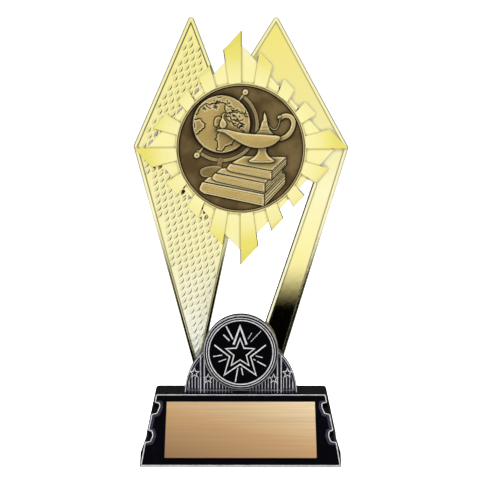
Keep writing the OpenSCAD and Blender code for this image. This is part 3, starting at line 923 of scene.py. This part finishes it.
def scatter(face, start, end, count, seed):
    """Small ragged islands strewn along a band of the globe."""
    pick = random.Random(seed)
    a, b = xz(*start), xz(*end)
    for _ in range(count):
        here = a + (b - a) * pick.random() + xz(pick.gauss(0, 0.55), pick.gauss(0, 0.55))
        if np.hypot(*(here - GLOBE)) > GLOBE_R - 1.3:
            continue
        run = [here]
        for _ in range(pick.randint(1, 3)):
            run.append(run[-1] + xz(pick.uniform(0.1, 0.65), pick.uniform(-0.5, 0.25)))
        face.groove(run, pick.uniform(0.13, 0.2), 0.1, 1, 0.5)


def draw_globe(face):
    """A globe with generic lands on a tilted axis, held by an arm and a stand."""
    # Stand: a low arm behind the globe and a low foot to the left of the books
    arm = from_line(arc(GLOBE + xz(0.1, -0.3), 14.1, 52, -132))
    face.add(0.75 - arm, 0.42, tone=0.32, edge=0.25, cast=0.5, far=0.8)
    stem = from_line([(-8.2, -4.6), (-8.6, -7.4)])
    face.add(1 - stem, 0.3, tone=0.2, edge=0.1, cast=0.3)
    base = [(-16.2, -8.6), (-13.6, -7.2), (-9.2, -6.9), (-6.6, -8.4), (-8.2, -10.8), (-13.4, -11.6),
            (-15.8, -10.9)]
    face.add(in_form(base, 6), 0.4, tone=0.26, edge=0.25, cast=0.45, far=0.7)
    # Axis and its two knobs
    for knob in (xz(1.8, 22.2), xz(-17.5, -2.8)):
        to_globe = GLOBE + unit(knob - GLOBE) * GLOBE_R
        face.add(0.5 - from_line([knob, to_globe]), 0.7, tone=0.9, edge=0.7, cast=0.5, far=0.5)
        face.add(1.25 - from_point(knob), 0.9, soft=0.8, edge=1, cast=0.5, far=0.5)
        face.darken(0.45 * bell(from_point(knob), 0.35))
    # Ball
    r = from_point(GLOBE)
    d = GLOBE_R - r
    face.add(d, 0.65, tone=0.78, edge=1, cast=1, far=1.5)
    dome = 0.75 * np.sqrt(np.clip(1 - (r / GLOBE_R) ** 2, 0, 1))
    face.height = np.where(d > 0, face.height + dome, face.height)
    # Lands, whose coasts are dark lines with a bright lip
    for points, seed, wobble in LANDS:
        q = in_outline(coast(points, seed, wobble))
        on = (q > 0) & (d > 0.5)
        face.height = np.where(on, face.height + 0.16 * np.clip(q / 0.25, 0, 1), face.height)
        face.raised = np.where(on, 0.66, face.raised)
        on_ball = np.clip((d - 0.35) / 0.25, 0, 1)
        coast_line = bell(q + 0.1, 0.21) * on_ball
        face.darken(coast_line)
        face.edge = np.maximum(face.edge, 0.75 * (bell(q - 0.42, 0.2) * on_ball))
        face.height = face.height - 0.1 * coast_line
    scatter(face, (-3.6, 13.6), (0.8, 9.2), 18, 5)
    scatter(face, (-3.6, 10.6), (1.4, 6.8), 10, 6)
    scatter(face, (-17.4, 15.6), (-7.4, 18.6), 22, 8)
    scatter(face, (-6, 17.4), (-0.6, 14.6), 10, 9)
    face.groove(arc(GLOBE, GLOBE_R - 0.75, 20, 160), 0.1, 0.08, 0.35, 0.1)


def draw_book(face, front_edge, back_shift, thick, level):
    """A closed book lying flat. front_edge is the cover's near edge from left to right,
    back_shift leads to its far edge, and thick is the height of the spine side."""
    a, b = arrays(front_edge)
    shift_l, shift_r = arrays(back_shift)
    down = xz(0, -thick)
    cover = [a, b, b + shift_r, a + shift_l]
    pages = [b, b + down, b + shift_r + 0.86 * down, b + shift_r]
    face.add(in_outline(pages[::-1]), level - 0.12, soft=0.3, tone=0.75, edge=0.6, cast=0.6, far=0.6)
    for share in (0.22, 0.5, 0.78):
        step = down * share
        face.groove([b + step + 0.04 * shift_r, b + 0.97 * shift_r + step * 0.9], 0.12, 0.08, 0.95, 0.6)
    face.add(in_outline(cover), level - 0.05, soft=0.3, edge=0.85, cast=0.5, far=0.35)
    bulge = xz(-1.6, -0.62 * thick)
    spine = spline([a + xz(-0.4, -0.1), a + bulge, a + down + xz(0.1, 0.1)], 6)
    face.add(in_outline(spine + [b + down, b]), level + 0.12, cast=0.6, far=0.4)
    face.groove([a + xz(0.3, -0.12), b + xz(-0.1, 0)], 0.1, 0.1, 0.7, 0.4)
    for share in (0.2, 0.84):
        face.groove([a + down * share + xz(0.6, 0), b + down * share], 0.09, 0.07, 0.65, 0.5)


def draw_books(face):
    """Three books in a pile, the lowest first."""
    draw_book(face, ((-15, -13.2), (9.3, -18.2)), ((2.2, 1.8), (8.4, 8.4)), 4.9, 0.85)
    draw_book(face, ((-9.9, -9.7), (9.6, -13.9)), ((2.2, 1.8), (7, 7.2)), 3.6, 1)
    draw_book(face, ((-4, -5.9), (12.3, -9)), ((5.2, 2.9), (5.9, 5.6)), 3.5, 1.15)


def draw_lamp(face):
    """An oil lamp on top of the books, with its flame at the left."""
    pedestal = [(7, 0.2), (6.7, -1.4), (5.7, -3), (4, -4.3), (3.1, -5), (4.4, -5.6), (8.2, -5.8),
                (12.2, -5.7), (13.4, -5), (12.2, -4), (10.9, -2.8), (10.2, -1.3), (10.1, 0.2)]
    face.add(in_form(pedestal, 5), 1.35, soft=1.1, tone=0.95, edge=0.95)
    face.groove([(3.8, -4.75), (8.2, -5.2), (12.8, -4.8)], 0.1, 0.1, 0.45, 0.3)
    # Handle, its curl and its chain
    handle = [(14.2, 3.6), (16.6, 4), (18.8, 5.3), (20.4, 7.6), (20.9, 10.2), (20, 12.2), (18.4, 12.9),
              (16.9, 12.7), (15.7, 12)]
    face.add(1.02 - from_line(spline(handle)), 1.3, soft=0.95, tone=0.85, edge=0.6, far=0.7)
    face.add(0.85 - from_point((15.3, 12.2)), 1.35, soft=0.7, tone=0.95, edge=1, cast=0.5, far=0.5)
    chain = [(10.6, 10.6), (11.3, 8.9), (12.4, 7.7), (13.8, 7.5), (14.8, 8.7), (15.3, 10.4), (15.6, 11.8)]
    face.add(0.24 - from_line(spline(chain)), 0.9, soft=0.25, tone=0.9, cast=0.55, far=0.4)
    # Lid with its finial
    lid = [(5.9, 5.6), (7.1, 7), (7.9, 9), (8.3, 10.6), (8.9, 11.3), (8.9, 12.4), (9.3, 14.3),
           (9.9, 13.4), (10.4, 11.7), (10.6, 10.4), (11, 8.8), (11.7, 7), (12.8, 5.4)]
    face.add(in_form(lid, 4), 1.5, soft=1.2, tone=0.95, edge=0.95, far=0.7)
    for z, left_x, right_x in ((7.1, 7, 11.8), (8.5, 7.6, 11.3), (10.5, 8.2, 10.7)):
        sag = ((left_x + right_x) / 2, z - 0.2)
        face.groove([(left_x, z), sag, (right_x, z)], 0.1, 0.1, 0.55, 0.3)
    # Bowl and spout
    body = [(-9.6, 7), (-8.5, 7.7), (-5.6, 7.5), (-2.4, 6.7), (1, 6.1), (4.2, 5.8), (8, 5.6),
            (11.6, 5.3), (14.9, 5), (15.6, 4), (14.4, 2.3), (12.2, 0.9), (9, 0.1), (5.2, 0.1),
            (1.6, 1.1), (-1.4, 2.7), (-4.2, 4.6), (-6.6, 6.1)]
    face.add(in_form(body, 4), 1.55, soft=1.9, dome=0.05, edge=0.95)
    face.groove([(-8.6, 7.2), (-5.4, 6.8), (-1.6, 5.8)], 0.12, 0.12, 0.35, 0.3)
    flame = [(-7.4, 13.4), (-6.3, 14), (-6.9, 12.2), (-5.9, 10.4), (-5.6, 9), (-6.4, 8.1),
             (-7.7, 8.1), (-8.5, 9), (-8.3, 10.6), (-7.5, 12)]
    face.add(in_form(flame, 4), 1.5, soft=0.9, edge=0.8, far=0.6)


def medallion():
    face = Relief()
    draw_globe(face)
    draw_books(face)
    draw_lamp(face)
    # A rounded rim covers what reaches it, and the bare field darkens towards it
    inward = MEDAL_R - np.hypot(GX, GZ)
    rim = np.clip((MEDAL_RIM - inward) / 0.3, 0, 1)
    face.height = np.where(inward < MEDAL_RIM, 0.5 * np.sqrt(1 - (1 - rim) ** 2), face.height)
    face.height -= 0.4 * np.clip((0.3 - inward) / 0.3, 0, 1) ** 2
    face.raised = np.where(inward < 0.7, RIM_SHARE, face.raised)
    face.edge = np.where(inward < 0.7, 0.25, face.edge)
    near_rim = 0.9 * np.exp(-np.clip(inward - 0.7, 0, None) / 0.5)
    face.darken(near_rim * (face.raised < 0.2))
    face.shade[inward < 0.65] = 0
    # The grid becomes the front, and its border runs back to a flat back
    points = np.stack([GX + MEDAL_X, MEDAL_BACK - 1.5 - face.height, GZ + MEDAL_Z], -1).reshape(-1, 3)
    grid = np.arange(GRID * GRID).reshape(GRID, GRID)
    corners = (grid[:-1, :-1], grid[:-1, 1:], grid[1:, 1:], grid[1:, :-1])
    faces = np.stack(corners, -1).reshape(-1, 4).tolist()
    border = [*grid[0], *grid[1:, -1], *grid[-1, -2::-1], *grid[-2:0:-1, 0]]
    back = [(points[i][0], MEDAL_BACK, points[i][2]) for i in border]
    start = len(points)
    m = len(border)
    faces += [(border[k], start + k, start + (k + 1) % m, border[(k + 1) % m]) for k in range(m)]
    faces.append(tuple(start + k for k in range(m)))
    shape = Shape()
    shape.add([*points, *back], faces)
    obj = piece("medallion_detail", shape, "antique_bronze", ["medallion"], [BRONZE], smooth=60)
    for name in ("raised", "edge", "shade"):
        layer = obj.data.attributes.new(name, "FLOAT", "POINT")
        data = np.concatenate([getattr(face, name).reshape(-1), np.full(m, 0.3)])
        layer.data.foreach_set("value", np.clip(data, 0, 1).astype(np.float32))


medallion()


# ---- Crest and star disc ----

CREST_R = 22.6
ROUNDEL_R = 15
ROUNDEL_FRONT = -1.1
ROUNDEL_FLOOR = 0.3  # depth of the floor behind the star disc
BARS = range(3, 18)
BAR_PITCH = 1.22
BAR_TOP = BASE_TOP + 13
BAR_SPLIT = BASE_TOP + 2  # the bars' silver is dimmer below this height
POST_X = 15.4
POST_HALF = 0.75
SMALL_STARS = [(-18.6, 32.7), (-13.1, 30.4), (13.1, 30.4), (18.6, 32.7)]


def bar_top(x):
    """Where the bar at x ends, below the arch, the roundel and the small stars."""
    tops = [BAR_TOP, BASE_TOP + sqrt(max(0, (CREST_R - 1.3) ** 2 - x * x)) - 0.1]
    if abs(x) < ROUNDEL_R:
        tops.append(STAR_Z - sqrt(ROUNDEL_R ** 2 - x * x) - 0.05)
    tops += [z - 1.5 for star_x, z in SMALL_STARS if abs(star_x - x) < 2.1]
    return min(tops)


def crest():
    """The half-round crest: arch, bars, posts and small stars in silver, and the roundel."""
    shape = Shape()
    face = front(CREST_FRONT)
    centre = xz(0, BASE_TOP)
    shape.loops([
        [(x, y, z) for x, z in arc(centre, CREST_R - d, 0, 180, 64)] for d, y in
        ((0.5, CREST_FRONT), (0, CREST_FRONT + 0.4), (0, CREST_BACK - 0.3), (0.3, CREST_BACK))
    ])
    shape.line(arc(centre, CREST_R - 0.35, 1, 179, 72), 0.42, 0.35, face, mark=4)
    shape.line(arc(centre, CREST_R - 1.25, 3, 177, 72), 0.3, 0.2, face, mark=2)
    for side in (-1, 1):
        for x in (side * i * BAR_PITCH for i in BARS):
            top = bar_top(x)
            if abs(abs(x) - POST_X) < 1.1 or top <= BASE_TOP + 1.2:
                continue
            shape.line([(x, BASE_TOP + 0.25), (x, BAR_SPLIT)], 0.34, 0.3, face, mark=2)
            shape.line([(x, min(BAR_SPLIT, top - 0.2)), (x, top)], 0.36, 0.35, face, mark=4)
        for x in (side * POST_X - POST_HALF, side * POST_X + POST_HALF):
            top = BASE_TOP + sqrt(CREST_R ** 2 - x * x) - 0.3
            shape.line([(x, BASE_TOP + 0.2), (x, top)], 0.55, 0.5, face, mark=4)
    sill = [(side * (CREST_R - 1.5), BASE_TOP + 1.15) for side in (-1, 1)]
    shape.line(sill, 0.3, 0.3, face, mark=2)
    for spot in SMALL_STARS:
        star = [xz(*spot) + p for p in star_points(1.9, 0.8)]
        shape.line(star, 0.34, 0.4, face, closed=True, mark=1)
    # The roundel's rings, from its side inwards: distance from the side, and depth
    rings = [(ROUNDEL_R - cut, ROUNDEL_FRONT + deep) for cut, deep in (
        (0, 0.9), (0.12, 0.5), (0.5, 0.3), (0.52, 1.1), (1.12, 1.1), (1.14, 0), (1.4, 0),
        (1.42, 1.1), (1.96, 1.1), (1.98, 0), (2.32, 0))]
    back = CREST_BACK - 0.02
    shape.lathe(
        [(HUB, back), (ROUNDEL_R, back), *rings, (STAR_R, ROUNDEL_FRONT + 0.3),
         (STAR_R, ROUNDEL_FLOOR), (HUB, ROUNDEL_FLOOR)],
        (STAR_X, STAR_Z), 128, marks=[0, 0, 3, 3, 0, 0, 0, 1, 0, 0, 0, 1, 3, 0, 0],
    )
    piece("crest_detail", shape, "black_crest", ["crest"],
          [BLACK_CREST, SILVER, SILVER_DIM, SILVER_BAND, SILVER_CREST], smooth=25)


crest()

# Strokes round the disc's star, from its middle: both ends and the width
STROKES = [
    ((-5.6, 10.9), (-2.9, 5.7), 0.6), ((-6.7, 7.5), (-4.3, 5.1), 0.55), ((4.7, 8.3), (3.2, 5.8), 0.25),
    ((8.3, 8.9), (4.2, 4.6), 0.25), ((-10.8, -1.3), (-7.2, -0.7), 0.4), ((-8.6, -3.4), (-5.6, -2.3), 0.35),
    ((6.2, -1), (9, -1.7), 0.35), ((5.3, -2.4), (6.2, -2.8), 0.35), ((6.8, -3.2), (10.3, -5.1), 0.5),
    ((-0.9, -5.8), (-1.9, -11.4), 0.5), ((0.5, -5.8), (1.1, -8.7), 0.5),
]


def star_disc():
    """The black foil disc with its silver star: two outlines and some strokes."""
    shape = Shape()
    low, high = box_mm("star_disc")
    y = low[1] + 0.2
    hub = 0.3
    shape.lathe([(hub, high[1]), (STAR_R, high[1]), (STAR_R, y + 0.1), (STAR_R - 0.1, y), (hub, y)],
                (STAR_X, STAR_Z), 96)
    centre = xz(STAR_X - 0.3, STAR_Z - 0.4)
    outer = star_points(10.8, 4.4)
    drawn = [([outer[9], outer[0], outer[1]], 0.88, False), (outer[2:9], 0.6, False)]
    drawn += [(star_points(6, 2.6), 0.55, True)]
    drawn += [((a, b), width, False) for a, b, width in STROKES]
    for points, width, closed in drawn:
        line = [centre + p for p in arrays(points)]
        shape.line(line, width, 0.17, front(y), closed=closed, mark=1)
    piece("star_disc_detail", shape, "star_foil", ["star_disc"], [BLACK, SILVER], smooth=30)


star_disc()


# ---- Base ----

# The fascia's right side, as (across, up the slope), with its corners' radii
SLOPE_LEN = BASE_TOP / sin(SLOPE)
SIDE = [(38.8, 0.35), (37.5, 11.4), (35.4, 11.9), (34.7, 14.3), (35, 16), (36.5, 16.5), (35.4, 24.3),
        (33.4, 24.9), (32.5, 27.6), (32.6, 29), (34.5, 29.5), (33.9, SLOPE_LEN)]
SIDE_R = [0.2, 0.4, 0.8, 1, 0.6, 0.3, 0.4, 0.8, 1, 0.6, 0.3, 0.3]
ARC_STEPS = 4
RIDGE_CLEAR = 3


def within_base(u, v, h):
    """Places a point on the slope, kept between the base's foot and its top."""
    lift = h * cos(SLOPE)
    low, high = ((z - lift) / sin(SLOPE) for z in (RIM_CLEAR, BASE_TOP))
    return slope_place(u, min(max(v, low), high), h)


def fascia():
    """The stepped front with a silver bead round it and a soft ridge down each side, coloured as a painted
    sheen.
    """
    corners = SIDE + [(-x, v) for x, v in reversed(SIDE)]
    radii = SIDE_R + SIDE_R[::-1]

    def outline(d):
        return rounded(inset(corners, d), radii, ARC_STEPS)

    shape = Shape()
    shape.loops([
        [within_base(u, v, h) for u, v in outline(d)]
        for d, h in ((0.25, 0), (0, -0.25), (0, -1.55))
    ])
    shape.line(outline(0.42), 0.4, 0.35, slope_place, closed=True, mark=1)
    # Painted sheen: a faint lilac ridge inside the bead on each side
    ridge = [p for p in outline(1.2) if RIDGE_CLEAR < p[1] < SLOPE_LEN - RIDGE_CLEAR]
    half = len(ridge) // 2
    for run in (ridge[:half], ridge[half:]):
        shape.line(run, 0.9, 0.1, slope_place, mark=2)
    piece("fascia_detail", shape, "black_fascia", ["base_fascia"], [BLACK, SILVER, BLACK_SHEEN], smooth=30)


fascia()
softened("base_shell", "black_base", BLACK_SHELL, 0.35, 3)
for node, slot, material, bevel in (
    ("engraving_plate", "plate_metal", PLATE, 0.12),
    ("felt_pad", "felt", FELT, 0.2),
    ("bottom_cover", "black_inner", BLACK_INNER, 0.15),
    ("riser_foot_block", "black_inner", BLACK_INNER, 0.3),
    ("ballast_weight", "iron", IRON, 0.5),
    ("riser_bolt", "steel", STEEL, 0.25),
    ("riser_washer", "steel", STEEL, 0.12),
    ("riser_nut", "steel", STEEL, 0.25),
    ("cover_screws", "steel", STEEL, 0.08),
    ("crest_screws", "steel", STEEL, 0.1),
    ("holder_screws", "steel", STEEL, 0.25),
    ("plate_adhesive", "adhesive", FOAM, 0.03),
    ("star_disc_adhesive", "adhesive", FOAM, 0.03),
    ("medallion_adhesive", "adhesive", FOAM, 0.05),
):
    softened(node, slot, material, bevel)


# ---- Camera, light and floor ----

CAMERA_AT = Vector((3, -597.5, MEDAL_Z)) * MM
AIM_AT = Vector((0.64, 2.5, MEDAL_Z - 37.53)) * MM


def look(obj, at, target):
    obj.location = at
    obj.rotation_euler = (target - at).to_track_quat("-Z", "Y").to_euler()


camera = new_object("camera", bpy.data.cameras.new("camera"))
camera.data.lens = 111.7
camera.data.sensor_width = 36
camera.data.clip_end = 20
look(camera, CAMERA_AT, AIM_AT)
bpy.context.scene.camera = camera
bpy.context.scene.view_settings.view_transform = "Standard"


def soft_light(name, at, target, size, power):
    """A square light of this size in metres, which polished faces don't mirror."""
    lamp = bpy.data.lights.new(name, "AREA")
    lamp.shape = "RECTANGLE"
    lamp.size = size
    lamp.size_y = size
    lamp.energy = power
    obj = new_object(name, lamp)
    look(obj, Vector(at), Vector(target))
    obj.visible_glossy = False


soft_light("key", (-0.7, -1, 1.1), (0, 0, 0.1), 0.8, 14)
soft_light("fill", (0.9, -0.8, 0.7), (0, 0, 0.08), 0.8, 7)
soft_light("top", (0, 0.1, 1.3), (0, 0, 0), 1.2, 12)


def world():
    """White studio walls in front, with a dark card low down and a dark flag to the lower
    right. Behind it is dim, with a brighter band low down and a brighter top. The camera
    itself sees white."""
    made = bpy.data.worlds.new("studio")
    bpy.context.scene.world = made
    made.use_nodes = True
    made.node_tree.nodes.clear()
    n = Nodes(made.node_tree)
    fade = n.spread

    def product(*values):
        total = values[0]
        for value in values[1:]:
            total = n.maths("MULTIPLY", total, value)
        return total

    def rest_of(share):
        return n.maths("SUBTRACT", 1, share)

    x, y, z = n.axes(n.coordinates("Generated"))
    # The dark card is wide at the bottom and narrower above
    right = fade(x, 0.14, 0.18, 1, 0)
    card_foot = fade(z, -0.22, -0.19, 0, 1)
    narrow = product(fade(x, -0.027, -0.015, 0, 1), right, fade(z, -0.106, -0.0755, 1, 0), card_foot)
    wide = product(fade(x, -0.16, -0.12, 0, 1), right, fade(z, -0.142, -0.126, 1, 0), card_foot)
    card = n.maths("MAXIMUM", narrow, wide)
    roof = fade(z, 0.68, 0.88, 1, 0.2)
    ground = fade(z, -0.62, -0.38, 0.25, 1)
    sides = fade(n.maths("ABSOLUTE", x, 0), 0.15, 0.8, 1, 0.8)
    in_front = fade(y, -0.42, -0.05, 1, 0)
    low_band = product(fade(z, -0.23, -0.16, 0.6, 0), fade(y, 0.4, 0.6, 0, 1))
    behind = n.maths("MAXIMUM", fade(z, 0.3, 0.8, 0.03, 0.6), low_band)
    # The dark flag is square to the tread's lugs
    lower_right = n.maths("SUBTRACT", n.maths("MULTIPLY", x, float(TREAD_ACROSS[0])),
                          n.maths("MULTIPLY", z, -float(TREAD_ACROSS[1])))
    flag = fade(lower_right, 0.45, 0.62, 1, 0.05)
    lit = product(roof, ground, sides, in_front, flag, rest_of(card))
    light = n.maths("ADD", n.maths("ADD", lit, product(behind, rest_of(in_front))), 0.001)
    seen = n.node("LightPath", {}).outputs["Is Camera Ray"]
    level = n.maths("MAXIMUM", light, n.maths("MULTIPLY", seen, 1.05))
    background = n.node("Background", {"Color": (1, 1, 1), "Strength": level})
    n.node("OutputWorld", {"Surface": background.outputs[0]})


world()


def floor():
    """A pale floor, which the object neither mirrors nor takes light from."""
    r = 3000
    shape = Shape()
    shape.add([(-r, -r, 0), (r, -r, 0), (r, r, 0), (-r, r, 0)], [(0, 1, 2, 3)])
    n = Finish("pale_floor", Metallic=0, Roughness=0.9, Base_Color=(0.85, 0.85, 0.85),
               Emission_Color=(1, 1, 1), Emission_Strength=0.95)
    obj = new_object("floor", new_mesh("floor", shape, [n.material]))
    obj.visible_glossy = False
    obj.visible_diffuse = False


floor()
